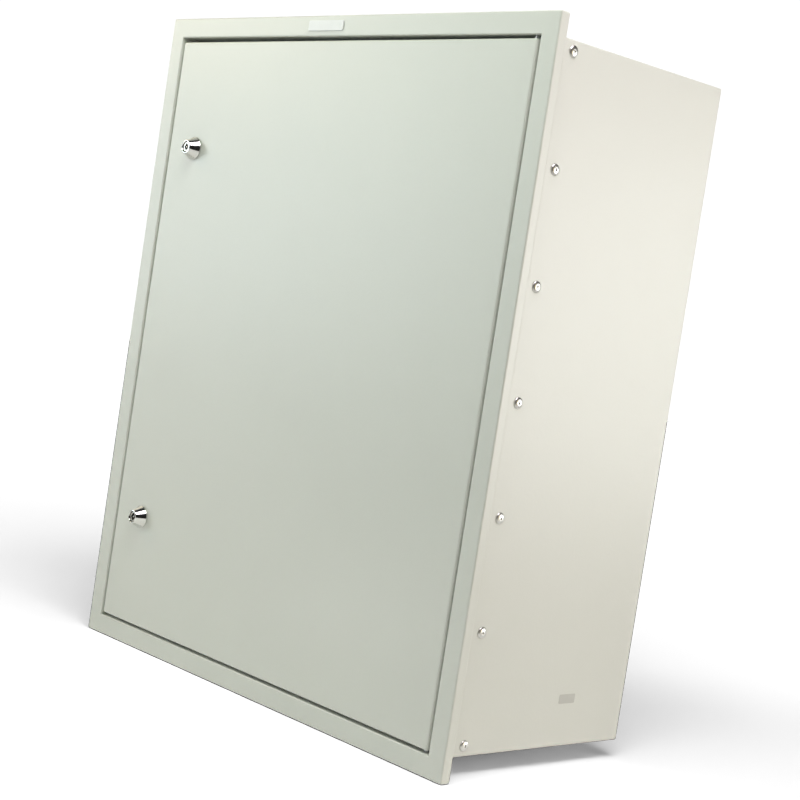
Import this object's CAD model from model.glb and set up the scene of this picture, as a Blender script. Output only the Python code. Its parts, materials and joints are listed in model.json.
"""A flush-mounted fire alarm control panel: painted steel box, trim frame and door, chrome turn locks,
and the control gear, operator panel and batteries inside.

Shapes are worked out in millimetres and turned into metres as each piece is finished."""
import json
import math

import bmesh
import bpy
from mathutils import Matrix, Vector

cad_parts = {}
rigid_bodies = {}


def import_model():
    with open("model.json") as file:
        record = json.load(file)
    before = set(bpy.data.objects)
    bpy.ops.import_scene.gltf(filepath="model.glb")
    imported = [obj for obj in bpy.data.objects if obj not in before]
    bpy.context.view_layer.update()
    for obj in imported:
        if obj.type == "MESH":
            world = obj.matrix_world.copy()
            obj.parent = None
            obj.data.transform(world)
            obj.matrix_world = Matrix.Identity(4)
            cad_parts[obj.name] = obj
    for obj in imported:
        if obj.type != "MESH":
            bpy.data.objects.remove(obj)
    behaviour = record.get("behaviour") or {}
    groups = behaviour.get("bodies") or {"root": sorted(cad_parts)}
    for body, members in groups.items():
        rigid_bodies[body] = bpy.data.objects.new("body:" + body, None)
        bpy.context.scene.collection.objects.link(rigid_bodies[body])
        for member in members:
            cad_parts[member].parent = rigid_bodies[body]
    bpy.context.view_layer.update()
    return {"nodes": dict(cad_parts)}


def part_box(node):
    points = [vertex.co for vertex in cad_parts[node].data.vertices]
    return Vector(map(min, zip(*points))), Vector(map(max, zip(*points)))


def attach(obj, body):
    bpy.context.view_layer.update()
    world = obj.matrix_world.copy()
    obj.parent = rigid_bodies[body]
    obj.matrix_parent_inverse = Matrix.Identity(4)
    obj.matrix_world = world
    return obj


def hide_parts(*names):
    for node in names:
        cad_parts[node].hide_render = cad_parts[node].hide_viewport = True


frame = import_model()

MM = 0.001


def box_of(node):
    """The lowest and highest corner of a CAD node, in millimetres."""
    low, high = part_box(node)
    return low / MM, high / MM


def middle_of(node):
    low, high = box_of(node)
    return (low + high) / 2


# ---------------------------------------------------------------- where the design puts things
FRAME_LOW, FRAME_HIGH = box_of("trim_frame")
BOX_LOW, BOX_HIGH = box_of("back_box")
DOOR_LOW, DOOR_HIGH = box_of("door_pan")
FASCIA_LOW, FASCIA_HIGH = box_of("operator_fascia")
FRONT = FRAME_LOW.y

SHEET = 1.5
BOX_SHEET = 1.2
FRAME_RETURN = 10.0
COLLAR_DEPTH = FRAME_HIGH.y - FRONT
FIT_GAP = 0.4
OPENING_X = BOX_HIGH.x - BOX_SHEET - FIT_GAP - SHEET
FLANGE = FRAME_HIGH.x - OPENING_X
LIP_BACK = 20.0
LIP_WIDTH = 14.0
DOOR_DROP = 1.4  # the door's top edge runs down this much to the lock side
BEND = 1.7  # outside radius of a folded edge
FREE_EDGE = 0.25  # rounding of a cut sheet edge under its paint


# ---------------------------------------------------------------- shader maths
class Value:
    """A node socket that can be used in sums, so that a pattern reads as a formula."""

    def __init__(self, tree, socket):
        self.tree = tree
        self.socket = socket

    def math(self, operation, *terms):
        node = self.tree.nodes.new("ShaderNodeMath")
        node.operation = operation
        for socket, term in zip(node.inputs, terms):
            if isinstance(term, Value):
                self.tree.links.new(term.socket, socket)
            else:
                socket.default_value = term
        return Value(self.tree, node.outputs[0])

    def __add__(self, other):
        return self.math("ADD", self, other)

    __radd__ = __add__

    def __sub__(self, other):
        return self.math("SUBTRACT", self, other)

    def __rsub__(self, other):
        return self.math("SUBTRACT", other, self)

    def __mul__(self, other):
        return self.math("MULTIPLY", self, other)

    __rmul__ = __mul__

    def __truediv__(self, other):
        return self.math("DIVIDE", self, other)

    def __gt__(self, other):
        return self.math("GREATER_THAN", self, other)

    def __lt__(self, other):
        return self.math("LESS_THAN", self, other)

    def fract(self):
        return self.math("FRACT", self)

    def bounded(self):
        return self.math("MINIMUM", self.math("MAXIMUM", self, 0.0), 1.0)


class Look:
    """One material on a Principled shader, with helpers for the patterns that feed it."""

    def __init__(self, name, **constants):
        self.material = bpy.data.materials.new(name)
        self.material.use_nodes = True
        self.tree = self.material.node_tree
        self.shader = self.tree.nodes["Principled BSDF"]
        for socket, value in constants.items():
            self.plug(self.shader.inputs[socket.replace("_", " ")], value)
        self.coordinates = self.add("ShaderNodeTexCoord", {}, {}, "Object")

    def add(self, kind, settings, sockets, output=0):
        node = self.tree.nodes.new(kind)
        for setting, value in settings.items():
            setattr(node, setting, value)
        for socket, value in sockets.items():
            self.plug(node.inputs[socket], value)
        return Value(self.tree, node.outputs[output])

    def plug(self, socket, value):
        if isinstance(value, Value):
            self.tree.links.new(value.socket, socket)
        elif socket.type == "RGBA" and len(value) == 3:
            socket.default_value = (*value, 1.0)
        else:
            socket.default_value = value

    def feed(self, socket, value):
        self.plug(self.shader.inputs[socket], value)

    def placed(self, stretch=(1, 1, 1)):
        """Object coordinates, stretched."""
        return self.add("ShaderNodeMapping", {}, {"Vector": self.coordinates, "Scale": stretch})

    def noise(self, size, detail=2.0, roughness=0.5, stretch=(1, 1, 1)):
        """Soft noise with lumps of about that size in millimetres."""
        sockets = {
            "Vector": self.placed(stretch),
            "Scale": 1 / (size * MM),
            "Detail": detail,
            "Roughness": roughness,
        }
        return self.add("ShaderNodeTexNoise", {}, sockets)

    def cells(self, size, output="Distance"):
        """Cells of about that size in millimetres."""
        sockets = {"Vector": self.coordinates, "Scale": 1 / (size * MM)}
        return self.add("ShaderNodeTexVoronoi", {}, sockets, output)

    def axis(self, name):
        """The place along one axis, in millimetres."""
        return self.add("ShaderNodeSeparateXYZ", {}, {"Vector": self.coordinates}, name) / MM

    def blend(self, factor, first, second):
        """first where the factor is 0, second where it is 1."""
        return self.add("ShaderNodeMix", {"data_type": "RGBA"}, {0: factor, 6: first, 7: second}, 2)

    def bump(self, height, depth):
        """Height from 0 to 1, for a relief that many millimetres deep."""
        sockets = {"Height": height, "Distance": depth * MM}
        self.feed("Normal", self.add("ShaderNodeBump", {}, sockets))


def tint(color, factor):
    return tuple(min(1.0, channel * factor) for channel in color)


# ---------------------------------------------------------------- finishes
def powder_coat(name, color, peel):
    """Semi-gloss powder coat: a fine orange peel on slow waves, and a slightly uneven tone."""
    look = Look(name, Specular_IOR_Level=0.5)
    tone = look.noise(90, detail=3)
    speckle = look.noise(1.6, detail=2)
    mixed = look.blend(tone * 0.7 + speckle * 0.3, tint(color, 0.965), tint(color, 1.035))
    look.feed("Base Color", mixed)
    look.feed("Roughness", 0.27 + 0.06 * look.noise(7, detail=2) + 0.05 * tone)
    waves = 0.6 * look.noise(3.4, detail=1) + 0.3 * look.noise(1.5, detail=1)
    look.bump(waves + 0.1 * look.noise(0.7, detail=1), peel)
    return look


def plated(name, color, roughness, streak=(1, 1, 1), mark=0.02):
    """A plated or polished metal with fine handling marks."""
    look = Look(name, Metallic=1.0)
    haze = look.noise(5, detail=4, stretch=streak)
    scratches = look.noise(0.8, detail=3, roughness=0.7, stretch=streak)
    look.feed("Base Color", look.blend(haze, tint(color, 0.93), tint(color, 1.05)))
    look.feed("Roughness", roughness + 0.12 * haze * haze + 0.05 * scratches)
    look.bump(scratches, mark)
    return look


def zinc():
    """Bright zinc plating: a faint crystal pattern with a cloudy passivated tone."""
    look = Look("zinc_plating", Metallic=1.0)
    color = (0.60, 0.62, 0.62)
    grain = look.cells(4.5, "Color")
    cloud = look.noise(30, detail=4)
    patches = look.blend(grain * 0.5 + cloud * 0.5, tint(color, 0.82), tint(color, 1.15))
    look.feed("Base Color", patches)
    look.feed("Roughness", 0.28 + 0.16 * cloud + 0.05 * look.noise(1.2))
    look.bump(look.noise(1.1, detail=3), 0.02)
    return look


def moulded(name, color, roughness, grain=0.03):
    """A moulded plastic with a fine spark-eroded texture and a little uneven shine."""
    look = Look(name)
    tone = look.noise(25, detail=3)
    look.feed("Base Color", look.blend(tone, tint(color, 0.88), tint(color, 1.12)))
    look.feed("Roughness", roughness - 0.05 + 0.1 * tone + 0.05 * look.noise(0.9))
    look.bump(look.noise(0.5, detail=2), grain)
    return look


def foam():
    """Closed-cell foam: a dull skin of small open bubbles."""
    look = Look("closed_cell_foam", Specular_IOR_Level=0.25)
    bubbles = look.cells(0.9)
    dust = look.noise(14, detail=4)
    skin = look.blend(bubbles * 0.7 + dust * 0.3, (0.012, 0.012, 0.013), (0.06, 0.06, 0.062))
    look.feed("Base Color", skin)
    look.feed("Roughness", 0.85 + 0.12 * dust)
    look.bump(bubbles, 0.25)
    return look


def circuit():
    """Green solder mask over straight copper tracks, with a fine weave under it."""
    look = Look("solder_mask", Coat_Weight=0.3, Coat_Roughness=0.15)
    x = look.axis("X")
    z = look.axis("Z")
    jog = look.cells(16, "Color")
    across = ((x / 2.4 + 3.0 * jog).fract() < 0.42) * (look.noise(11, detail=0) > 0.5)
    along = ((z / 2.4 + 5.0 * jog).fract() < 0.42) * (look.noise(11, detail=0) < 0.5)
    tracks = (across + along).bounded()
    weave = look.noise(0.5, detail=1)
    plain = look.blend(weave, (0.010, 0.085, 0.030), (0.016, 0.12, 0.045))
    look.feed("Base Color", look.blend(tracks, plain, (0.030, 0.21, 0.075)))
    look.feed("Roughness", 0.42 - 0.1 * tracks)
    look.bump(tracks * 0.8 + weave * 0.2, 0.04)
    return look


def display_glass():
    """A blank reflective liquid-crystal panel: grey-green, with faint rows of dots behind the glass."""
    look = Look("display_panel", Coat_Weight=1.0, Coat_Roughness=0.04)
    x = look.axis("X")
    z = look.axis("Z")
    dots = ((x / 0.9).fract() > 0.12) * ((z / 0.9).fract() > 0.12)
    cloud = look.noise(40, detail=2)
    ground = look.blend(cloud, (0.115, 0.160, 0.120), (0.145, 0.195, 0.145))
    look.feed("Base Color", look.blend(dots * 0.35, ground, (0.185, 0.24, 0.18)))
    look.feed("Roughness", 0.30 + 0.1 * cloud)
    look.bump(dots, 0.01)
    return look


def lens(name, color):
    """A small clear coloured plastic dome."""
    look = Look(name, Coat_Weight=0.8, Coat_Roughness=0.05)
    depth = look.noise(2.5, detail=2)
    look.feed("Base Color", look.blend(depth, tint(color, 0.7), tint(color, 1.1)))
    look.feed("Roughness", 0.12 + 0.08 * depth)
    look.bump(depth, 0.02)
    return look


def studio_floor():
    """A pale matt board: it sends light back up, and the camera sees it as white with soft shadows."""
    look = Look("pale_floor", Specular_IOR_Level=0.1)
    tone = look.noise(400, detail=2)
    look.feed("Base Color", look.blend(tone, (0.93, 0.93, 0.93), (0.95, 0.95, 0.95)))
    look.feed("Roughness", 0.8 + 0.1 * tone)
    return look


PAINT_COLOR = (0.760, 0.770, 0.725)
PAINT = powder_coat("grey_powder_coat", PAINT_COLOR, 0.065)
ZINC = zinc()
CHROME = plated("polished_chrome", (0.80, 0.80, 0.79), 0.04, mark=0.004)
CORE_METAL = plated("turned_nickel", (0.56, 0.55, 0.51), 0.12, mark=0.01)
KEYWAY = moulded("keyway_shadow", (0.010, 0.010, 0.010), 0.7)
RIVET_METAL = plated("rivet_aluminium", (0.80, 0.79, 0.77), 0.27, mark=0.02)
STEEL = plated("bright_steel", (0.52, 0.53, 0.54), 0.24, streak=(1, 6, 1), mark=0.02)
BRASS = plated("drawn_brass", (0.66, 0.50, 0.22), 0.22, streak=(1, 6, 1), mark=0.02)
FOAM = foam()
RUBBER = moulded("black_rubber", (0.018, 0.018, 0.019), 0.72, grain=0.05)
BOARD = circuit()
BLACK = moulded("black_plastic", (0.020, 0.021, 0.023), 0.48)
CHARCOAL = moulded("battery_case", (0.035, 0.037, 0.042), 0.42, grain=0.06)
GREY = moulded("light_grey_plastic", (0.50, 0.52, 0.50), 0.46)
GREEN = moulded("green_terminal_plastic", (0.030, 0.21, 0.075), 0.42)
BLUE = moulded("blue_relay_plastic", (0.020, 0.09, 0.30), 0.35)
RED = moulded("red_plastic", (0.42, 0.022, 0.018), 0.40)
PLATE = moulded("blank_white_plate", (0.87, 0.88, 0.90), 0.30, grain=0.01)
STICKER = moulded("blank_paper_sticker", (0.60, 0.60, 0.57), 0.62, grain=0.02)
DISPLAY = display_glass()
GREEN_LENS = lens("green_lens", (0.05, 0.42, 0.10))
AMBER_LENS = lens("amber_lens", (0.62, 0.34, 0.03))
RED_LENS = lens("red_lens", (0.52, 0.03, 0.02))

SLOT_LOOKS = {
    "powder_coat": PAINT,
    "zinc_steel": ZINC,
    "chrome": CHROME,
    "bright_steel": STEEL,
    "foam_rubber": FOAM,
    "rubber": RUBBER,
    "circuit_board": BOARD,
    "black_plastic": BLACK,
    "grey_plastic": GREY,
    "green_plastic": GREEN,
    "plate_plastic": PLATE,
    "window_glass": DISPLAY,
    "brass": BRASS,
}


# ---------------------------------------------------------------- shaping
FULL_TURN = 2 * math.pi
MERGE = 1e-4
QUARTER = math.pi / 2


def rounded(bm, edges, radius, segments=3):
    """Rounds edges to a radius."""
    bmesh.ops.bevel(
        bm,
        geom=list(dict.fromkeys(edges)),
        offset=radius,
        offset_type="OFFSET",
        segments=segments,
        profile=0.5,
        affect="EDGES",
        clamp_overlap=True,
        material=-1,
    )
    return bm


def corners(bm, least=0.5):
    """The edges where two faces meet at more than an angle."""
    return [e for e in bm.edges if len(e.link_faces) == 2 and e.calc_face_angle() > least]


def edges_along(bm, axis):
    """The edges that run along an axis."""
    others = [i for i, letter in enumerate("XYZ") if letter != axis]
    ends = [(e, e.verts[0].co, e.verts[1].co) for e in bm.edges]
    return [e for e, first, second in ends if all(abs(first[i] - second[i]) < MERGE for i in others)]


def softened(bm, radius, segments=2, least=0.5):
    return rounded(bm, corners(bm, least), radius, segments)


def tidied(bm):
    """Merges doubles and turns every face outwards."""
    bmesh.ops.remove_doubles(bm, verts=bm.verts, dist=MERGE)
    bmesh.ops.recalc_face_normals(bm, faces=bm.faces)
    return bm


def moved(bm, x=0, y=0, z=0):
    bmesh.ops.translate(bm, vec=(x, y, z), verts=bm.verts)
    return bm


def turned_about(bm, axis, angle):
    bmesh.ops.rotate(bm, cent=(0, 0, 0), matrix=Matrix.Rotation(angle, 3, axis), verts=bm.verts)
    return bm


def block(low, high, radius=0.0, segments=2):
    """A block between two corners, its edges rounded."""
    low = Vector(low)
    high = Vector(high)
    bm = bmesh.new()
    bmesh.ops.create_cube(bm, size=1.0)
    bmesh.ops.scale(bm, vec=high - low, verts=bm.verts)
    bmesh.ops.translate(bm, vec=(low + high) / 2, verts=bm.verts)
    return rounded(bm, bm.edges, radius, segments) if radius else bm


def slot_cutter(low, high, radius):
    """A cutter between two corners for a slot along X with round ends."""
    cutter = block(low, high)
    return rounded(cutter, edges_along(cutter, "Y"), radius, 4)


def folded_pan(bm, open_side, thickness, bend=BEND, segments=4):
    """A solid shape as folded sheet, open towards +Y (1) or -Y (-1)."""
    open_faces = [f for f in bm.faces if f.normal.y * open_side > 0.9]
    bmesh.ops.delete(bm, geom=open_faces, context="FACES")
    rounded(bm, [e for e in bm.edges if not e.is_boundary], bend, segments)
    bmesh.ops.solidify(bm, geom=list(bm.faces), thickness=thickness)
    bmesh.ops.recalc_face_normals(bm, faces=bm.faces)
    return bm


def spun(profile, steps=48, closed=False):
    """A turned piece about Y, from radius and y pairs."""
    bm = bmesh.new()
    points = [bm.verts.new((radius, y, 0)) for radius, y in profile]
    ends = points[1:] + points[:1] if closed else points[1:]
    edges = [bm.edges.new(pair) for pair in zip(points, ends)]
    bmesh.ops.spin(
        bm,
        geom=points + edges,
        cent=(0, 0, 0),
        axis=(0, 1, 0),
        angle=FULL_TURN,
        steps=steps,
        use_merge=True,
    )
    return tidied(bm)


def rod(diameter, y0, y1, steps=32, radius=0.0):
    """A round rod along Y."""
    bm = spun([(0, y0), (diameter / 2, y0), (diameter / 2, y1), (0, y1)], steps)
    return softened(bm, radius, least=1.0) if radius else bm


ALONG = {
    "X": lambda a, b, depth: (depth, a, b),
    "Y": lambda a, b, depth: (a, depth, b),
    "Z": lambda a, b, depth: (a, b, depth),
}


def extruded(points, axis, start, end):
    """An outline made thick along an axis; its points are on the other two axes, in order."""
    bm = bmesh.new()
    face = bm.faces.new([bm.verts.new(ALONG[axis](a, b, start)) for a, b in points])
    raised = bmesh.ops.extrude_face_region(bm, geom=[face])
    far = [v for v in raised["geom"] if isinstance(v, bmesh.types.BMVert)]
    bmesh.ops.translate(bm, vec=ALONG[axis](0, 0, end - start), verts=far)
    return tidied(bm)


def merged(*shapes):
    """Several separate shapes in one."""
    mesh = bpy.data.meshes.new("merged")
    whole = bmesh.new()
    for shape in shapes:
        shape.to_mesh(mesh)
        shape.free()
        whole.from_mesh(mesh)
    bpy.data.meshes.remove(mesh)
    return whole


def standing(bm):
    mesh = bpy.data.meshes.new("temporary")
    bm.to_mesh(mesh)
    bm.free()
    return bpy.data.objects.new("temporary", mesh)


def carved(bm, *tools):
    """bm with each tool's shape taken away."""
    scene = bpy.context.scene.collection.objects
    base = standing(bm)
    cutters = [standing(tool) for tool in tools]
    for thing in [base, *cutters]:
        scene.link(thing)
    for cutter in cutters:
        modifier = base.modifiers.new("cut", "BOOLEAN")
        modifier.operation = "DIFFERENCE"
        modifier.solver = "EXACT"
        modifier.object = cutter
    bpy.context.view_layer.update()
    done = base.evaluated_get(bpy.context.evaluated_depsgraph_get())
    result = bmesh.new()
    result.from_mesh(done.to_mesh())
    done.to_mesh_clear()
    for thing in [base, *cutters]:
        mesh = thing.data
        bpy.data.objects.remove(thing)
        bpy.data.meshes.remove(mesh)
    bmesh.ops.remove_doubles(result, verts=result.verts, dist=MERGE)
    return result


SMOOTH_UP_TO = math.radians(38)


def piece(name, bm, look, body="cabinet", replaces=()):
    """Finishes a shape: metres, smooth shading with weighted normals, its look and its body."""
    bmesh.ops.scale(bm, vec=(MM, MM, MM), verts=bm.verts)
    mesh = bpy.data.meshes.new(name)
    bm.to_mesh(mesh)
    bm.free()
    mesh.shade_smooth()
    mesh.set_sharp_from_angle(angle=SMOOTH_UP_TO)
    mesh.materials.append(look.material)
    made = bpy.data.objects.new(name, mesh)
    bpy.context.scene.collection.objects.link(made)
    normals = made.modifiers.new("normals", "WEIGHTED_NORMAL")
    normals.keep_sharp = True
    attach(made, body)
    if replaces:
        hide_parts(*replaces)
    return made


# ---------------------------------------------------------------- trim frame and box
def loop_at(bm, inset, depth):
    """One rectangular loop of edges, in from the frame's outer edge and back from its face."""
    half_x = FRAME_HIGH.x - inset
    half_z = FRAME_HIGH.z - inset
    spots = [(-half_x, -half_z), (half_x, -half_z), (half_x, half_z), (-half_x, half_z)]
    points = [bm.verts.new((x, FRONT + depth, z)) for x, z in spots]
    return [bm.edges.new(pair) for pair in zip(points, points[1:] + points[:1])]


def trim_frame():
    """The frame's section carried round its four sides: return, face, collar and door lip."""
    lip_end = FLANGE + LIP_WIDTH
    section = [
        (0, FRAME_RETURN),
        (0, 0),
        (FLANGE, 0),
        (FLANGE, LIP_BACK),
        (lip_end, LIP_BACK),
        (lip_end, LIP_BACK + SHEET),
        (FLANGE, LIP_BACK + SHEET),
        (FLANGE, COLLAR_DEPTH),
        (FLANGE - SHEET, COLLAR_DEPTH),
        (FLANGE - SHEET, SHEET),
        (SHEET, SHEET),
        (SHEET, FRAME_RETURN),
    ]
    bm = bmesh.new()
    loops = [loop_at(bm, inset, depth) for inset, depth in section]
    for loop, following in zip(loops, loops[1:] + loops[:1]):
        bmesh.ops.bridge_loops(bm, edges=loop + following)
    outer_fold, inner_fold = loops[1], loops[2]
    upright = [e for e in bm.edges if is_outer_corner(e)]
    rounded(bm, outer_fold + inner_fold + upright, BEND, 4)
    bmesh.ops.recalc_face_normals(bm, faces=bm.faces)
    softened(bm, FREE_EDGE, 1, least=1.2)
    piece("painted_trim_frame", bm, PAINT, replaces=["trim_frame"])


def is_outer_corner(edge):
    """The short edges of the return at the frame's four outer corners."""
    return all(
        abs(abs(v.co.x) - FRAME_HIGH.x) < MERGE and abs(abs(v.co.z) - FRAME_HIGH.z) < MERGE
        for v in edge.verts
    )


GROMMET_HOLE = 22.0
FIXING_HOLE = 7.0
FIXING_X = 212.0
FIXING_Z = 240.0


def back_box():
    """The deep box, folded and welded, with its cable and wall fixing holes."""
    bm = folded_pan(block(BOX_LOW, BOX_HIGH), -1, BOX_SHEET)
    wall_holes = [
        moved(rod(FIXING_HOLE, -10, 10), x, 0, z)
        for x in (-FIXING_X, FIXING_X)
        for z in (-FIXING_Z, FIXING_Z)
    ]
    cable_holes = []
    for number in (1, 2, 3):
        place = middle_of(f"cable_grommet_{number}")
        hole = turned_about(rod(GROMMET_HOLE, -10, 10), "X", QUARTER)
        cable_holes.append(moved(hole, *place))
    bm = carved(bm, *wall_holes, *cable_holes)
    piece("painted_back_box", bm, PAINT, replaces=["back_box", "back_panel"])


RIVET_HEAD = 9.5
RIVET_SHANK = 4.8
RIVET_TAIL = -6.0
RIVETS_ACROSS = (-186, -62, 62, 186)


def rivet_shape():
    """A blind rivet along +X, seated at x = 0: a low dome, and the stem's broken end down its middle."""
    head = RIVET_HEAD / 2
    dome = [
        (0, RIVET_TAIL),
        (RIVET_SHANK / 2, RIVET_TAIL),
        (RIVET_SHANK / 2, 0.1),
        (head, 0.1),
        (head, 0.45),
        (head * 0.93, 0.95),
        (head * 0.76, 1.40),
        (head * 0.54, 1.68),
        (1.35, 1.80),
        (1.15, 1.72),
        (1.10, 0.95),
        (0.70, 0.80),
        (0, 1.05),
    ]
    return turned_about(spun(dome, 32), "Z", -QUARTER)


def rivets():
    """The riveted rows: the right side's replace the CAD ones, the other sides follow them."""
    places = [middle_of(f"rivet_{number}") for number in range(1, 8)]
    row_y = places[0].y
    for number, place in enumerate(places, 1):
        shape = moved(rivet_shape(), BOX_HIGH.x, row_y, place.z)
        replaced = [f"rivet_{number}"]
        piece(f"blind_rivet_right_{number}", shape, RIVET_METAL, replaces=replaced)
    rows = {
        "left": [("Z", math.pi, BOX_LOW.x, place.z) for place in places],
        "top": [("Y", -QUARTER, x, BOX_HIGH.z) for x in RIVETS_ACROSS],
        "bottom": [("Y", QUARTER, x, BOX_LOW.z) for x in RIVETS_ACROSS],
    }
    for side, row in rows.items():
        shapes = [moved(turned_about(rivet_shape(), axis, turn), x, row_y, z) for axis, turn, x, z in row]
        piece(f"blind_rivets_{side}", merged(*shapes), RIVET_METAL)


def grommets():
    """Round rubber grommets with a soft lip, one in each cable hole."""
    for number in (1, 2, 3):
        low, high = box_of(f"cable_grommet_{number}")
        outer = (high.x - low.x) / 2
        bore = GROMMET_HOLE / 2 - 3
        neck = GROMMET_HOLE / 2 - 0.3
        reach = (high.z - low.z) / 2
        seat = BOX_SHEET / 2 + 0.3
        ring = [
            (bore, -reach + 0.8),
            (bore + 0.8, -reach),
            (outer - 1.0, -reach),
            (outer, -reach + 1.0),
            (outer, -seat),
            (neck, -seat),
            (neck, seat),
            (outer, seat),
            (outer, reach - 1.0),
            (outer - 1.0, reach),
            (bore + 0.8, reach),
            (bore, reach - 0.8),
        ]
        bm = turned_about(spun(ring, 48, closed=True), "X", QUARTER)
        bm = moved(softened(bm, 0.3, least=0.6), *middle_of(f"cable_grommet_{number}"))
        piece(f"rubber_grommet_{number}", bm, RUBBER, replaces=[f"cable_grommet_{number}"])


def name_plate():
    """A blank plate on the frame's top edge, with softened edges."""
    low, high = box_of("name_plate")
    bm = block(low, high)
    rounded(bm, edges_along(bm, "Y"), 1.2, 4)
    softened(bm, 0.2, 2, least=1.2)
    piece("blank_name_plate", bm, PLATE, replaces=["name_plate"])


STICKER_THICKNESS = 0.12
STICKER_Y = (-86, -66)
STICKER_Z = (-248, -240)


def side_sticker():
    """A small blank paper sticker low on the right side."""
    low = (BOX_HIGH.x, STICKER_Y[0], STICKER_Z[0])
    high = (BOX_HIGH.x + STICKER_THICKNESS, STICKER_Y[1], STICKER_Z[1])
    bm = block(low, high)
    rounded(bm, edges_along(bm, "X"), 1.0, 3)
    piece("blank_sticker", bm, STICKER)


def front_edges(bm, front):
    """The corners that lie in a shape's front face."""
    return [e for e in corners(bm) if all(v.co.y < front + MERGE for v in e.verts)]


def door_seal():
    """A foam strip round the lip, its front a little rounded."""
    low, high = box_of("door_seal")
    width = LIP_WIDTH - 3
    inner_low = (low.x + width, low.y - 1, low.z + width)
    inner_high = (high.x - width, high.y + 1, high.z - width)
    bm = carved(block(low, high), block(inner_low, inner_high))
    rounded(bm, front_edges(bm, low.y), 0.9, 3)
    piece("foam_door_seal", bm, FOAM, replaces=["door_seal"])


# ---------------------------------------------------------------- door
BARREL = 16.0
BARREL_HOLE = 16.8
PIVOT_HOLE = 4.6
HAT_HALF_WIDTH = 17.0


def door_pan():
    """The door: one sheet folded back all round, its top edge running down to the lock side."""
    outline = [
        (DOOR_LOW.x, DOOR_LOW.z),
        (DOOR_HIGH.x, DOOR_LOW.z),
        (DOOR_HIGH.x, DOOR_HIGH.z),
        (DOOR_LOW.x, DOOR_HIGH.z - DOOR_DROP),
    ]
    bm = folded_pan(extruded(outline, "Y", DOOR_LOW.y, DOOR_HIGH.y), 1, SHEET)
    holes = [
        moved(rod(BARREL_HOLE, -5, 5), place.x, DOOR_LOW.y, place.z)
        for place in (middle_of("lock_body_upper"), middle_of("lock_body_lower"))
    ]
    pivot = middle_of("hinge_pin_upper")
    pin_hole = turned_about(rod(PIVOT_HOLE, -400, 400), "X", QUARTER)
    bm = carved(bm, *holes, moved(pin_hole, pivot.x, pivot.y, 0))
    piece("painted_door_pan", bm, PAINT, body="door", replaces=["door_pan"])


def folds_at(bm, y):
    """The corners along Z that lie at one depth."""
    upright = set(edges_along(bm, "Z"))
    return [e for e in corners(bm) if e in upright and abs(e.verts[0].co.y - y) < MERGE]


def door_stiffener():
    """The hat section down the inside of the door, with its bends rounded."""
    low, high = box_of("door_stiffener")
    outer = HAT_HALF_WIDTH
    inner = outer - SHEET
    foot = high.x
    seat = low.y
    top = high.y
    hat = [
        (-foot, seat),
        (-inner, seat),
        (-inner, top - SHEET),
        (inner, top - SHEET),
        (inner, seat),
        (foot, seat),
        (foot, seat + SHEET),
        (outer, seat + SHEET),
        (outer, top),
        (-outer, top),
        (-outer, seat + SHEET),
        (-foot, seat + SHEET),
    ]
    bm = extruded(hat, "Z", low.z, high.z)
    rounded(bm, folds_at(bm, top), 1.4, 3)
    softened(bm, FREE_EDGE, 1, least=1.2)
    piece("painted_door_stiffener", bm, PAINT, body="door", replaces=["door_stiffener"])


# ---------------------------------------------------------------- turn locks
LOCK_BASE = 21.5
LOCK_TIP = 12.8
LOCK_OUT = 10.5
CORE = 9.6
CORE_BACK = 1.2  # the core's face behind the cone's tip
CORE_STEM = 7.0
LOCK_STEPS = 64
CORE_HEAD = 7.0
STEM_SHOULDER = 23.5  # where the core's stem steps down to the screw
SCREW_RADIUS = 2.2
KEYWAY_DEPTH = 5.0
KEYWAY_HALF_WIDTH = 3.3
RUNNING_GAP = 0.3


def lock_body(place, x, z):
    """The chrome bezel: a thin rim on the door, then a cone up to a rolled tip round the core."""
    base = LOCK_BASE / 2
    tip = LOCK_TIP / 2
    bore = CORE / 2 + RUNNING_GAP
    face = -LOCK_OUT
    barrel_end = box_of(f"lock_body_{place}")[1].y - DOOR_LOW.y
    shell = [
        (bore, face + 0.9),
        (bore + 0.15, face + 0.35),
        (bore + 0.45, face),
        (tip - 0.5, face),
        (tip - 0.15, face + 0.15),
        (tip + 0.1, face + 0.55),
        (base - 0.45, -1.75),
        (base - 0.15, -1.5),
        (base, -1.15),
        (base, -RUNNING_GAP),
        (BARREL / 2, -RUNNING_GAP),
        (BARREL / 2, barrel_end),
        (CORE_STEM / 2 + RUNNING_GAP, barrel_end),
        (CORE_STEM / 2 + RUNNING_GAP, face + 8.5),
        (bore, face + 8.5),
    ]
    bm = moved(spun(shell, LOCK_STEPS, closed=True), x, DOOR_LOW.y, z)
    replaced = [f"lock_body_{place}"]
    piece(f"chrome_lock_bezel_{place}", bm, CHROME, body="door", replaces=replaced)


def diamond(wide, tall):
    """The keyway's outline, from its half width and half height."""
    return [(0, -tall), (wide, 0), (0, tall), (-wide, 0)]


def hexagon(radius):
    return [(radius * math.cos(i * FULL_TURN / 6), radius * math.sin(i * FULL_TURN / 6)) for i in range(6)]


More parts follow.
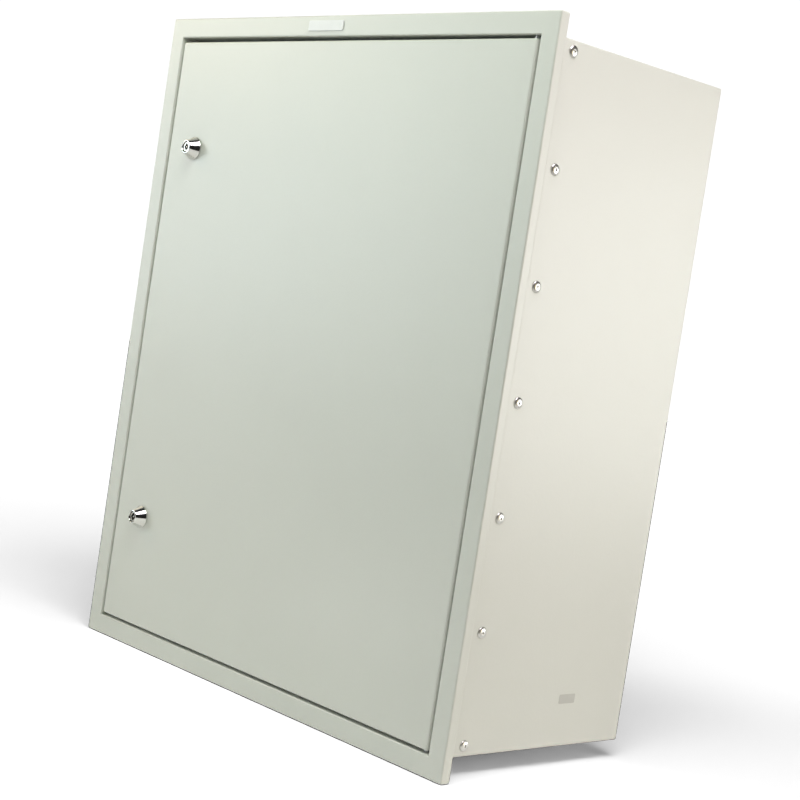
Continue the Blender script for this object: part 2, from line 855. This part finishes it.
def lock_core(place, x, z):
    """The turning core: a dished face with a pointed keyway round a pin."""
    face = -LOCK_OUT + CORE_BACK
    stem_end = box_of(f"lock_core_{place}")[1].y - DOOR_LOW.y
    body = [
        (0, face + 0.35),
        (2.9, face + 0.1),
        (CORE / 2 - 0.7, face),
        (CORE / 2 - 0.2, face + 0.15),
        (CORE / 2, face + 0.6),
        (CORE / 2, face + CORE_HEAD),
        (CORE_STEM / 2, face + CORE_HEAD),
        (CORE_STEM / 2, STEM_SHOULDER),
        (SCREW_RADIUS, STEM_SHOULDER + 0.1),
        (SCREW_RADIUS, stem_end),
        (0, stem_end),
    ]
    core = spun(body, LOCK_STEPS)
    deep = face + KEYWAY_DEPTH
    tall = CORE / 2 - 0.45
    wide = KEYWAY_HALF_WIDTH
    body_name = f"lock_{place}"
    core = carved(core, extruded(diamond(wide, tall), "Y", face - 1, deep))
    core = moved(core, x, DOOR_LOW.y, z)
    piece(f"lock_core_face_{place}", core, CORE_METAL, body=body_name)
    liner = extruded(diamond(wide - 0.06, tall - 0.1), "Y", face + 0.75, deep - 0.05)
    liner = carved(liner, extruded(diamond(wide - 0.2, tall - 0.3), "Y", face, deep - 0.4))
    liner = moved(liner, x, DOOR_LOW.y, z)
    piece(f"lock_keyway_{place}", liner, KEYWAY, body=body_name)
    pin = moved(rod(1.9, face + 0.3, deep - 0.1, 24, radius=0.35), x, DOOR_LOW.y, z)
    made = piece(f"lock_key_pin_{place}", pin, CORE_METAL, body=body_name)
    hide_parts(f"lock_core_{place}")


def lock_nut(place, x, z):
    """A hexagon nut with chamfered corners behind the door's sheet."""
    low, high = box_of(f"lock_nut_{place}")
    radius = (high.x - low.x) / 2
    nut = extruded(hexagon(radius), "Y", low.y, high.y)
    thick = high.y - low.y
    chamfer = [(0, low.y), (radius * 0.93, low.y), (radius * 1.01, low.y + thick * 0.35)]
    chamfer += [(radius * 1.01, high.y - thick * 0.35), (radius * 0.93, high.y), (0, high.y)]
    trimmer = outside_of(spun(chamfer, 48), radius * 1.3, low.y, high.y)
    nut = moved(carved(nut, trimmer, rod(BARREL + 0.3, low.y - 1, high.y + 1)), x, 0, z)
    replaced = [f"lock_nut_{place}"]
    piece(f"hexagon_nut_{place}", nut, ZINC, body="door", replaces=replaced)


def outside_of(bm, radius, y0, y1):
    """A thick disc with bm's shape missing, to trim a piece down to bm."""
    return carved(rod(2 * radius, y0 - 0.5, y1 + 0.5, 48), bm)


def lock_cam(place, x, z):
    """The cam: a flat arm with rounded ends."""
    low, high = box_of(f"lock_cam_{place}")
    half = (high.x - low.x) / 2
    reach = z - low.z - half
    steps = 12
    angles = [i * math.pi / steps for i in range(steps + 1)]
    upper = [(half * math.cos(angle), half * math.sin(angle)) for angle in angles]
    lower = [(-a, -reach - b) for a, b in upper]
    arm = extruded(upper + lower, "Y", low.y, high.y)
    arm = moved(softened(arm, 0.35, least=1.0), x, 0, z)
    replaced = [f"lock_cam_{place}"]
    piece(f"zinc_lock_cam_{place}", arm, ZINC, body=f"lock_{place}", replaces=replaced)


def cross(arm, half_width, y0, y1):
    """Two crossed cutters for a screw's recess."""
    return [
        block((-arm, y0, -half_width), (arm, y1, half_width)),
        block((-half_width, y0, -arm), (half_width, y1, arm)),
    ]


def cam_screw(place, x, z):
    """A cross-recessed screw and washer that hold the cam on its square."""
    low, high = box_of(f"cam_screw_{place}")
    seat = high.y - 3
    head = spun([(0, seat + 0.8), (3, seat + 0.8), (3, high.y - 0.9), (2.3, high.y - 0.2), (0, high.y)], 32)
    head = carved(head, *cross(1.9, 0.45, high.y - 1, high.y + 1))
    washer = rod(10, seat, seat + 0.9, 32, radius=0.2)
    screw = moved(merged(head, washer), x, 0, z)
    replaced = [f"cam_screw_{place}"]
    piece(f"steel_cam_screw_{place}", screw, STEEL, f"lock_{place}", replaced)


def lock(place):
    middle = middle_of(f"lock_body_{place}")
    lock_body(place, middle.x, middle.z)
    lock_core(place, middle.x, middle.z)
    lock_nut(place, middle.x, middle.z)
    lock_cam(place, middle.x, middle.z)
    cam_screw(place, middle.x, middle.z)


# ---------------------------------------------------------------- operator panel
def opening_for(node, gap=0.3):
    """A cutter that clears a node's outline on the fascia."""
    low, high = box_of(node)
    front = (low.x - gap, FASCIA_LOW.y - 5, low.z - gap)
    return block(front, (high.x + gap, FASCIA_LOW.y + 5, high.z + gap))


KEY_SIZE = (20.0, 13.0)
KEY_FLANGE = 1.5
SOUNDER_SLOTS = (-2, -1, 0, 1, 2)
LAMP_PITCH = 13.0
LAMP_OFFSET = 26  # to the right of the display's bezel
LAMP_LOOKS = (GREEN_LENS, AMBER_LENS, AMBER_LENS, RED_LENS)
LAMP_SIZE = 5.0


def lamp_places():
    """A column of four indicator lamps to the right of the display."""
    low, high = box_of("display_bezel")
    middle = (low.z + high.z) / 2
    rise = (len(LAMP_LOOKS) - 1) / 2
    return [(high.x + LAMP_OFFSET, middle + (rise - i) * LAMP_PITCH) for i in range(len(LAMP_LOOKS))]


def fascia():
    """The painted operator fascia, folded back all round, with its cut-outs."""
    bm = folded_pan(block(FASCIA_LOW, FASCIA_HIGH), 1, SHEET)
    holes = [opening_for("display_window")]
    for number in range(1, 6):
        holes.append(opening_for(f"key_{number}", 0.3 - KEY_FLANGE))
    switch = middle_of("key_switch_core")
    holes.append(moved(rod(19, -5, 5), switch.x, FASCIA_LOW.y, switch.z))
    sounder = middle_of("buzzer")
    for row in SOUNDER_SLOTS:
        half = 11 - 2 * abs(row)
        z = sounder.z + row * 5
        low = (sounder.x - half, FASCIA_LOW.y - 5, z - 1.2)
        high = (sounder.x + half, FASCIA_LOW.y + 5, z + 1.2)
        holes.append(slot_cutter(low, high, 1.1))
    for x, z in lamp_places():
        holes.append(moved(rod(LAMP_SIZE + 0.3, -5, 5, 24), x, FASCIA_LOW.y, z))
    piece("painted_operator_fascia", carved(bm, *holes), PAINT, replaces=["operator_fascia"])


def lamps():
    """Domed lenses in black collars."""
    for number, ((x, z), look) in enumerate(zip(lamp_places(), LAMP_LOOKS), 1):
        dome = spun([(0, -2.6), (1.2, -2.35), (2.0, -1.7), (2.4, -0.6), (2.4, 6), (0, 6)], 32)
        dome = moved(dome, x, FASCIA_LOW.y, z)
        piece(f"indicator_lens_{number}", dome, look)
        collar = [(2.45, -0.9), (3.6, -0.7), (3.9, -0.1), (2.45, -0.1)]
        ring = moved(spun(collar, 32, closed=True), x, FASCIA_LOW.y, z)
        piece(f"indicator_collar_{number}", ring, BLACK)


def display():
    """The raised bezel with sloped inner edges, and the panel behind it."""
    low, high = box_of("display_bezel")
    inner_low, inner_high = box_of("display_window")
    bm = block(low, high)
    window = block((inner_low.x, low.y - 1, inner_low.z), (inner_high.x, high.y + 1, inner_high.z))
    bm = carved(bm, window)
    rounded(bm, front_edges(bm, low.y), 1.1, 3)
    piece("black_display_bezel", bm, BLACK, replaces=["display_bezel"])
    glass = block(inner_low, inner_high, 0.2)
    piece("blank_display_panel", glass, DISPLAY, replaces=["display_window"])


def keys():
    """Soft-edged key caps with a dished front, on their skirts and plungers."""
    for number in range(1, 6):
        low, high = box_of(f"key_{number}")
        middle = (low + high) / 2
        half_x, half_z = KEY_SIZE[0] / 2, KEY_SIZE[1] / 2
        flange_y = FASCIA_LOW.y + SHEET + 0.3
        cap_low = (middle.x - half_x, low.y, middle.z - half_z)
        cap = block(cap_low, (middle.x + half_x, flange_y + 1, middle.z + half_z))
        front = min(cap.faces, key=lambda f: f.calc_center_median().y)
        bmesh.ops.inset_region(cap, faces=[front], thickness=2.2, depth=0)
        bmesh.ops.translate(cap, vec=(0, 0.5, 0), verts=front.verts)
        rounded(cap, corners(cap, 0.15), 0.55, 3)
        skirt = block((low.x, flange_y, low.z), (high.x, flange_y + 1.2, high.z), 0.2)
        plunger = moved(rod(4, flange_y + 1.3, high.y, 20), middle.x, 0, middle.z)
        key = merged(cap, skirt, plunger)
        piece(f"moulded_key_{number}", key, GREY, f"button_{number}", [f"key_{number}"])


def key_switch():
    """The chrome ring of the key switch and the brass core that turns in it."""
    place = middle_of("key_switch_core")
    flange = 12.0
    ring = [
        (6.3, -2.6),
        (6.7, -3.0),
        (flange - 1.6, -3.0),
        (flange - 0.5, -2.5),
        (flange, -1.6),
        (flange, -0.3),
        (9.1, -0.3),
        (9.1, 9),
        (6.3, 9),
    ]
    bm = moved(spun(ring, 48, closed=True), place.x, FASCIA_LOW.y, place.z)
    piece("key_switch_ring", bm, CHROME, replaces=["key_switch_body"])
    core = spun([(0, -3.4), (5.3, -3.4), (5.8, -3.2), (6, -2.8), (6, 9), (0, 9)], 48)
    core = carved(core, block((-0.9, -4, -4), (0.9, 4, 4)))
    core = moved(core, place.x, FASCIA_LOW.y, place.z)
    piece("key_switch_face", core, BRASS, body="key_switch", replaces=["key_switch_core"])


def pan_head(x, y, z, size):
    """A cross-recessed pan head facing -Y, standing on y."""
    r = size / 2
    tall = size * 0.32
    crown = [(0, -tall), (r * 0.55, -tall * 0.93), (r * 0.88, -tall * 0.6)]
    head = spun([*crown, (r, -tall * 0.15), (r, 0), (0, 0)], 28)
    recess = cross(r * 0.55, size * 0.07, -tall * 2, -tall * 0.35)
    return moved(carved(head, *recess), x, y, z)


def fascia_screws():
    side = 10
    end = 14
    rows = (FASCIA_LOW.z + end, FASCIA_HIGH.z - end)
    spots = [(x, z) for x in (FASCIA_LOW.x + side, FASCIA_HIGH.x - side) for z in rows]
    heads = [pan_head(x, FASCIA_LOW.y, z, 7.5) for x, z in spots]
    piece("fascia_screws", merged(*heads), STEEL)


# ---------------------------------------------------------------- gear on the plate
BOARD_THICKNESS = 1.6


def circuit_board(name, node, pillar):
    """A bare board with rounded corners on its four pillars; gives the middle of its face."""
    low, high = box_of(node)
    seat = high.y
    face = seat - pillar - BOARD_THICKNESS
    board = block((low.x, face, low.z), (high.x, seat - pillar, high.z))
    rounded(board, edges_along(board, "Y"), 2.0, 3)
    pillars = [
        moved(rod(6, seat - pillar + 0.05, seat, 6), x, 0, z)
        for x in (low.x + 5, high.x - 5)
        for z in (low.z + 5, high.z - 5)
    ]
    piece(name, board, BOARD, replaces=[node])
    piece(f"{name}_pillars", merged(*pillars), ZINC)
    return Vector(((low.x + high.x) / 2, face, (low.z + high.z) / 2))


def on_board(face, x, z, width, height, depth, radius=0.6):
    """A component's block standing on a board's face."""
    return block(
        (face.x + x - width / 2, face.y - depth, face.z + z - height / 2),
        (face.x + x + width / 2, face.y, face.z + z + height / 2),
        radius,
    )


def main_board():
    face = circuit_board("control_board", "main_board", pillar=8)
    relays = [on_board(face, -88 + i * 24, -40, 16, 28, 15) for i in range(4)]
    piece("control_board_relays", merged(*relays), BLUE)
    flat_chips = ((30, 20, 22, 22), (64, -10, 14, 10), (30, -30, 12, 9))
    chips = [on_board(face, *place_and_size, 2, 0.3) for place_and_size in flat_chips]
    chips += [on_board(face, 58 + 9 * i, -44, 6, 9, 2.2, 0.3) for i in range(5)]
    chips.append(on_board(face, 80, 40, 40, 9, 9, 0.8))
    piece("control_board_chips", merged(*chips), BLACK)
    can_places = [face.x + 20 + 11 * i for i in range(4)]
    cans = [moved(rod(8, -12, 0, 24, radius=0.6), x, face.y, face.z - 52) for x in can_places]
    piece("control_board_capacitors", merged(*cans), STEEL)


def loop_card():
    face = circuit_board("loop_driver_card", "loop_card", pillar=20)
    parts = ((22, 0, 20, 20, 12, 1.0), (-28, 20, 30, 9, 9, 0.8), (-18, -10, 18, 12, 2, 0.3))
    blocks = [on_board(face, *part) for part in parts]
    piece("loop_driver_card_parts", merged(*blocks), BLACK)


def power_supply():
    """The power supply's folded cover with long vents and its fixing screws."""
    low, high = box_of("power_supply")
    bm = folded_pan(block(low, high), 1, 1.2, bend=1.4, segments=3)
    middle = (low + high) / 2
    vents = []
    for row in range(6):
        z = middle.z + (row - 2.5) * 14
        vents.append(slot_cutter((middle.x - 36, low.y - 2, z - 2), (middle.x + 36, low.y + 4, z + 2), 1.9))
    piece("power_supply_cover", carved(bm, *vents), ZINC, replaces=["power_supply"])
    spots = [(middle.x + side * 48, middle.z + end * 56) for side in (-1, 1) for end in (-1, 1)]
    heads = [pan_head(x, low.y, z, 6) for x, z in spots]
    piece("power_supply_screws", merged(*heads), STEEL)


def terminal_row(name, node, look, ways):
    """A stepped terminal strip: one block for each way, with its screw and its wire entry."""
    low, high = box_of(node)
    seat = high.y
    middle = (low.z + high.z) / 2
    pitch = (high.x - low.x) / ways
    depth = high.y - low.y
    tall = (high.z - low.z) / 2
    step = [
        (seat, middle - tall),
        (seat, middle + tall),
        (seat - depth * 0.55, middle + tall),
        (seat - depth, middle + tall * 0.4),
        (seat - depth, middle - tall * 0.4),
        (seat - depth * 0.55, middle - tall),
    ]
    blocks = []
    screws = []
    for way in range(ways):
        x0 = low.x + way * pitch
        body = extruded(step, "X", x0 + 0.15, x0 + pitch - 0.15)
        centre = x0 + pitch / 2
        well = moved(rod(pitch * 0.62, seat - depth - 1, seat - depth + 2.4, 16), centre, 0, middle)
        entry_low = (centre - pitch * 0.3, seat - depth * 0.5, middle - tall - 1)
        entry = block(entry_low, (centre + pitch * 0.3, seat - depth * 0.12, middle - tall + 5))
        blocks.append(carved(softened(body, 0.35, 1), well, entry))
        head = rod(pitch * 0.56, seat - depth + 0.9, seat - depth + 2.3, 16)
        cut = block((-pitch, seat - depth, -0.35), (pitch, seat - depth + 1.6, 0.35))
        screws.append(moved(carved(head, cut), centre, 0, middle))
    piece(name, merged(*blocks), look, replaces=[node])
    piece(f"{name}_screws", merged(*screws), STEEL)


def fuse_holder():
    """The square fuse carrier with its round screw cap."""
    low, high = box_of("mains_fuse")
    middle = (low + high) / 2
    body = block((low.x, low.y + 4, low.z), high, 1.0, 3)
    piece("fuse_carrier", body, BLACK, replaces=["mains_fuse"])
    cap = spun([(0, -3.8), (5.2, -3.8), (6.0, -3.2), (6.4, 0), (0, 0)], 32)
    cap = carved(cap, block((-4.2, -5, -0.6), (4.2, -2.9, 0.6)))
    piece("fuse_cap", moved(cap, middle.x, low.y + 3.95, middle.z), BLACK)


BATTERY_LID = 21  # from the lid's lower edge to the top of the tags
BATTERY_POST = 6
BATTERY_RIBS = 10


def battery(side):
    """A sealed battery: ribbed case, stepped lid, two tag terminals, and a blank plate on its front."""
    node = f"battery_{side}"
    low, high = box_of(node)
    lid_low = high.z - BATTERY_LID
    post = BATTERY_POST
    case = block((low.x + 0.8, low.y + 0.8, low.z), (high.x - 0.8, high.y, lid_low + 0.2), 2.2, 4)
    lid = block((low.x, low.y, lid_low), (high.x, high.y, high.z - post), 1.6, 3)
    details = []
    for i in range(BATTERY_RIBS):
        x = low.x + 6 + i * (high.x - low.x - 12) / (BATTERY_RIBS - 1)
        details.append(block((x - 0.9, low.y + 0.1, low.z + 8), (x + 0.9, low.y + 1.4, low.z + 26), 0.5))
    top = high.z - post
    for i in range(4):
        x = high.x - 62 - i * 14
        details.append(block((x - 8, low.y + 30, top - 0.4), (x, high.y - 12, top + 0.5), 0.3))
    shell = merged(case, lid, *details)
    piece(f"{side}_battery_case", shell, CHARCOAL, replaces=[node])
    wide = (high.x - low.x) * 0.56
    middle = (low.x + high.x) / 2
    label_low = (middle - wide / 2, low.y + 0.55, low.z + 40)
    label = block(label_low, (middle + wide / 2, low.y + 0.85, low.z + 96), 0.12)
    piece(f"{side}_battery_plate", label, PLATE)
    for number, (x, look) in enumerate(((low.x + 16.8, BLACK), (high.x - 16.8, RED)), 1):
        base = block((x - 7, low.y + 8.8, high.z - post), (x + 7, low.y + 22.8, high.z - 3.2), 0.5)
        piece(f"{side}_battery_post_{number}", base, look)
        tag = block((x - 0.4, low.y + 12.5, high.z - 3.3), (x + 0.4, low.y + 19, high.z), 0.15)
        piece(f"{side}_battery_tag_{number}", tag, BRASS)


def battery_strap():
    """The strap round the batteries, with rounded bends and a screw in each foot."""
    low, high = box_of("battery_strap")
    foot = 22
    half = high.x - foot
    outline = [
        (-half - foot, high.y),
        (-half - foot, high.y - SHEET),
        (-half - SHEET, high.y - SHEET),
        (-half - SHEET, low.y),
        (half + SHEET, low.y),
        (half + SHEET, high.y - SHEET),
        (half + foot, high.y - SHEET),
        (half + foot, high.y),
        (half, high.y),
        (half, low.y + SHEET),
        (-half, low.y + SHEET),
        (-half, high.y),
    ]
    bm = extruded(outline, "Z", low.z, high.z)
    rounded(bm, folds_at(bm, low.y), 1.4, 3)
    softened(bm, FREE_EDGE, 1, least=1.2)
    piece("zinc_battery_strap", bm, ZINC, replaces=["battery_strap"])
    middle = (low.z + high.z) / 2
    heads = [pan_head(sx * (half + foot * 0.55), high.y - SHEET, middle, 8) for sx in (-1, 1)]
    piece("battery_strap_screws", merged(*heads), STEEL)


def earth_stud():
    """A brass stud with a chamfered nut and a washer."""
    low, high = box_of("earth_stud")
    middle = (low + high) / 2
    nut = softened(extruded(hexagon(6.5), "Y", high.y - 5, high.y - 1.1), 0.35, 2)
    washer = rod(12.4, high.y - 1.0, high.y, 32, radius=0.2)
    stud = spun([(0, low.y), (2.5, low.y), (3, low.y + 0.6), (3, high.y - 5.1), (0, high.y - 5.1)], 32)
    bm = moved(merged(nut, washer, stud), middle.x, 0, middle.z)
    piece("brass_earth_stud", bm, BRASS, replaces=["earth_stud"])


def finish_the_rest():
    """The CAD nodes that stay as they are get their finish."""
    for node in frame["nodes"].values():
        slot = node.data.materials[0].name.split(".")[0]
        node.data.materials[0] = SLOT_LOOKS[slot].material


# ---------------------------------------------------------------- studio
VIEW_AIM = Vector((0.01094, -0.10581, -0.02508))
VIEW_FROM = Vector((1.12404, -1.17620, 0.06814))
VIEW_ROLL = math.radians(-8.73)
VIEW_LENS = 75.954
SENSOR_WIDTH = 36


def camera():
    data = bpy.data.cameras.new("view")
    data.lens = VIEW_LENS
    data.sensor_width = SENSOR_WIDTH
    data.clip_start = 0.05
    made = placed_facing(bpy.data.objects.new("view", data), VIEW_FROM, VIEW_AIM)
    made.rotation_quaternion @= Matrix.Rotation(-VIEW_ROLL, 4, "Z").to_quaternion()
    bpy.context.scene.camera = made


def placed_facing(made, place, aim):
    """Puts a light or the camera in its place, facing a point."""
    made.location = place
    made.rotation_mode = "QUATERNION"
    made.rotation_quaternion = (Vector(aim) - Vector(place)).to_track_quat("-Z", "Y")
    bpy.context.scene.collection.objects.link(made)
    return made


def soft_light(name, place, aim, size, power, color):
    """A soft square light at a place, facing a point."""
    data = bpy.data.lights.new(name, "AREA")
    data.shape = "RECTANGLE"
    data.size = size
    data.size_y = size
    data.energy = power
    data.color = color
    placed_facing(bpy.data.objects.new(name, data), place, aim)


STUDIO_CENTRE = Vector((0, -0.11, 0))

# Each light's azimuth and elevation in degrees, distance and size in metres, colour and watts.
STUDIO_LIGHTS = {
    "left_panel": (-50, 10, 2.6, 1.1, (0.78, 0.88, 0.92), 20.0),
    "right_key": (64, 60, 1.25, 0.8, (1.0, 0.93, 0.97), 10.5),
    "side_panel": (135, 0, 2.6, 1.1, (0.99, 1.0, 0.97), 26.0),
    "left_key": (-60, 30, 1.25, 0.6, (1.0, 0.80, 0.55), 3.0),
    "top_key": (20, 55, 1.25, 0.6, (0.72, 1.0, 0.66), 3.0),
    "side_warm": (105, 0, 2.6, 1.1, (1.0, 0.84, 0.50), 9.6),
}


POOL_PLACE = Vector((-0.24, -0.62, -0.08))
POOL_POWER = 6


def floor_pool():
    """A pool of light on the floor in front, which lifts the door's lower edge."""
    data = bpy.data.lights.new("floor_pool", "SPOT")
    data.energy = POOL_POWER
    data.spot_size = math.radians(80)
    data.spot_blend = 1.0
    data.shadow_soft_size = 0.02
    placed_facing(bpy.data.objects.new("floor_pool", data), POOL_PLACE, POOL_PLACE + Vector((0, 0, -1)))


def lights():
    for name, (azimuth, elevation, distance, size, color, power) in STUDIO_LIGHTS.items():
        turn = math.radians(azimuth)
        lift = math.radians(elevation)
        flat = math.cos(lift)
        toward = Vector((math.sin(turn) * flat, -math.cos(turn) * flat, math.sin(lift)))
        soft_light(name, STUDIO_CENTRE + toward * distance, STUDIO_CENTRE, size, power, color)


def staged(name, bm, look):
    """Something of the studio's own, which isn't part of the object."""
    mesh = bpy.data.meshes.new(name)
    bm.to_mesh(mesh)
    bm.free()
    mesh.materials.append(look.material)
    made = bpy.data.objects.new(name, mesh)
    bpy.context.scene.collection.objects.link(made)
    return made


CARD_HALF_SIZE = 0.45
CARD_PLACE = (1.08, -0.30, 0.05)


def dark_card():
    """A black card to the right, seen only in reflections, for the dark streaks on polished metal."""
    bm = bmesh.new()
    bmesh.ops.create_grid(bm, x_segments=1, y_segments=1, size=CARD_HALF_SIZE)
    bmesh.ops.rotate(bm, matrix=Matrix.Rotation(QUARTER, 3, "Y"), verts=bm.verts)
    bmesh.ops.rotate(bm, matrix=Matrix.Rotation(math.radians(-10), 3, "Z"), verts=bm.verts)
    bmesh.ops.translate(bm, vec=CARD_PLACE, verts=bm.verts)
    card = staged("dark_card", bm, moulded("black_card", (0.006, 0.006, 0.006), 0.9))
    card.visible_camera = False
    card.visible_diffuse = False
    card.visible_shadow = False


GLOW_STRENGTH = 0.05
WHITE_STRENGTH = 1.05
GLOW_STOPS = ((0.0, 0.55), (0.46, 0.35), (0.60, 0.45), (1.0, 1.0))


def backdrop():
    """White behind the object, and a faint glow, brighter above, that lights and mirrors in it."""
    world = bpy.data.worlds.new("studio")
    bpy.context.scene.world = world
    world.use_nodes = True
    nodes = world.node_tree.nodes
    links = world.node_tree.links
    nodes.clear()
    position = nodes.new("ShaderNodeTexCoord")
    height = nodes.new("ShaderNodeSeparateXYZ")
    ramp = nodes.new("ShaderNodeValToRGB")
    glow = nodes.new("ShaderNodeBackground")
    white = nodes.new("ShaderNodeBackground")
    path = nodes.new("ShaderNodeLightPath")
    choice = nodes.new("ShaderNodeMixShader")
    output = nodes.new("ShaderNodeOutputWorld")
    remap = nodes.new("ShaderNodeMapRange")
    remap.inputs["From Min"].default_value = -1
    links.new(position.outputs["Generated"], height.inputs[0])
    links.new(height.outputs["Z"], remap.inputs["Value"])
    links.new(remap.outputs[0], ramp.inputs[0])
    while len(ramp.color_ramp.elements) < len(GLOW_STOPS):
        ramp.color_ramp.elements.new(1.0)
    for element, (place, level) in zip(ramp.color_ramp.elements, GLOW_STOPS):
        element.position = place
        element.color = (level, level, level, 1)
    links.new(ramp.outputs[0], glow.inputs["Color"])
    glow.inputs["Strength"].default_value = GLOW_STRENGTH
    white.inputs["Color"].default_value = (1, 1, 1, 1)
    white.inputs["Strength"].default_value = WHITE_STRENGTH
    links.new(path.outputs["Is Camera Ray"], choice.inputs[0])
    links.new(glow.outputs[0], choice.inputs[1])
    links.new(white.outputs[0], choice.inputs[2])
    links.new(choice.outputs[0], output.inputs[0])


FLOOR_RADIUS = 6.0
FLOOR_GAP = 0.5  # millimetres under the frame's lower edge


def floor():
    """The floor, which shows as white with the object's soft shadow on it."""
    bm = bmesh.new()
    bmesh.ops.create_circle(bm, cap_ends=True, segments=96, radius=FLOOR_RADIUS)
    bmesh.ops.translate(bm, vec=(0, 0, (FRAME_LOW.z - FLOOR_GAP) * MM), verts=bm.verts)
    staged("floor", bm, studio_floor()).is_shadow_catcher = True


def main():
    bpy.context.scene.view_settings.view_transform = "Standard"
    trim_frame()
    back_box()
    rivets()
    grommets()
    name_plate()
    side_sticker()
    door_seal()
    door_pan()
    door_stiffener()
    lock("upper")
    lock("lower")
    fascia()
    lamps()
    display()
    keys()
    key_switch()
    fascia_screws()
    main_board()
    loop_card()
    power_supply()
    terminal_row("field_terminal_row", "field_terminals", GREEN, 28)
    terminal_row("mains_terminal_row", "mains_terminals", GREY, 6)
    fuse_holder()
    battery("left")
    battery("right")
    battery_strap()
    earth_stud()
    finish_the_rest()
    camera()
    lights()
    floor_pool()
    dark_card()
    backdrop()
    floor()


main()
